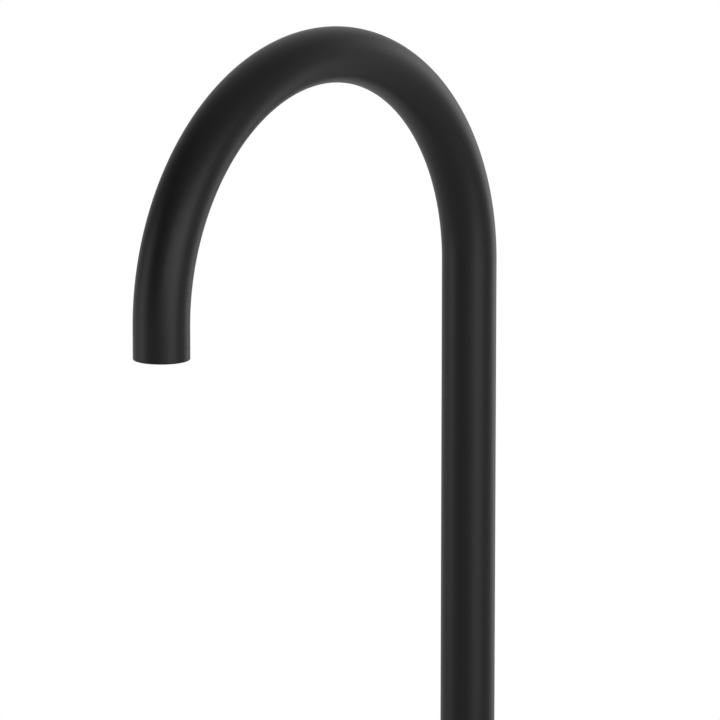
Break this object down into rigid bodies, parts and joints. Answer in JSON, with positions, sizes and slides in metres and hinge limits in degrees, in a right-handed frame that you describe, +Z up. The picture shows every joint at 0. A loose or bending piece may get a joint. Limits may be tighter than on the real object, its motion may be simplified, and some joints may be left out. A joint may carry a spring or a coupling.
{
  "type": "floor standing bath filler",
  "caption": "Floor standing bath filler: a matte black swan-neck spout that swivels on a slim column with a side lever mixer and a round floor flange.",
  "frame": {"origin": "on the finished floor, on the axis of the column, at the centre of the anchor holes", "axes": "+Z up along the column; the spout reaches towards -X; the lever's turret points towards -Y"},
  "size_m": [0.3444, 0.1257, 1.0999],
  "materials": {
    "black_metal": "matte black powder coat",
    "steel": "plain",
    "brass": "machined",
    "copper": "drawn tube",
    "rubber": "smooth",
    "white_plastic": "moulded",
    "ceramic": "lapped",
    "black_plastic": "moulded",
    "grey_plastic": "moulded"
  },
  "bodies": {
    "stand": {"body_screws": "steel", "bonnet": "black_metal", "cartridge_base": "white_plastic", "cartridge_housing": "white_plastic", "cartridge_nut": "brass", "cold_lower_seal": "rubber", "cold_port_seal": "rubber", "cold_strainer": "steel", "cold_supply_pipe": "copper", "cold_upper_seal": "rubber", "column_screws": "steel", "column_tube": "black_metal", "cover_seal": "rubber", "fixed_disc": "ceramic", "floor_base": "steel", "floor_cover": "black_metal", "hot_lower_seal": "rubber", "hot_port_seal": "rubber", "hot_strainer": "steel", "hot_supply_pipe": "copper", "hot_upper_seal": "rubber", "inlet_manifold": "brass", "levelling_screws": "steel", "manifold_clip": "steel", "mixed_port_seal": "rubber", "mixer_body": "black_metal", "slide_ring_lower": "white_plastic", "slide_ring_upper": "white_plastic", "spout_collar": "black_metal", "swivel_stop_screw": "steel"},
    "spout": {"spout_tube": "black_metal", "spout_spigot": "brass", "spout_seal_lower": "rubber", "spout_seal_upper": "rubber", "outlet_adaptor": "brass", "outlet_gasket": "rubber", "straightener_housing": "black_plastic", "straightener_core": "grey_plastic", "straightener_screen": "steel"},
    "rotor": {"cartridge_rotor": "white_plastic", "stem_pivot_pin": "steel"},
    "lever": {"lever_hub": "black_metal", "lever_rod": "black_metal", "lever_set_screw": "steel", "lever_plug": "black_plastic", "cartridge_stem": "brass"},
    "disc": {"moving_disc": "ceramic", "disc_carrier": "white_plastic"}
  },
  "joints": [
    {"name": "spout_swivel", "type": "hinge", "parent": "stand", "child": "spout", "pos_m": [0, 0, 0.63], "axis": [0, 0, 1], "range_deg": [-60, 60]},
    {"name": "temperature_turn", "type": "hinge", "parent": "stand", "child": "rotor", "pos_m": [0, -0.03, 0.57], "axis": [0, -1, 0], "range_deg": [-45, 45]},
    {"name": "flow_lift", "type": "hinge", "parent": "rotor", "child": "lever", "pos_m": [0, -0.0317, 0.57], "axis": [1, 0, 0], "range_deg": [0, 25]},
    {"name": "disc_slide", "type": "slide", "parent": "rotor", "child": "disc", "axis": [0, 0, 1], "range_m": [0, 0.0036]}
  ],
  "couplings": [
    {"joint": "disc_slide", "follows": "flow_lift", "m_per_rad": 0.00793}
  ]
}
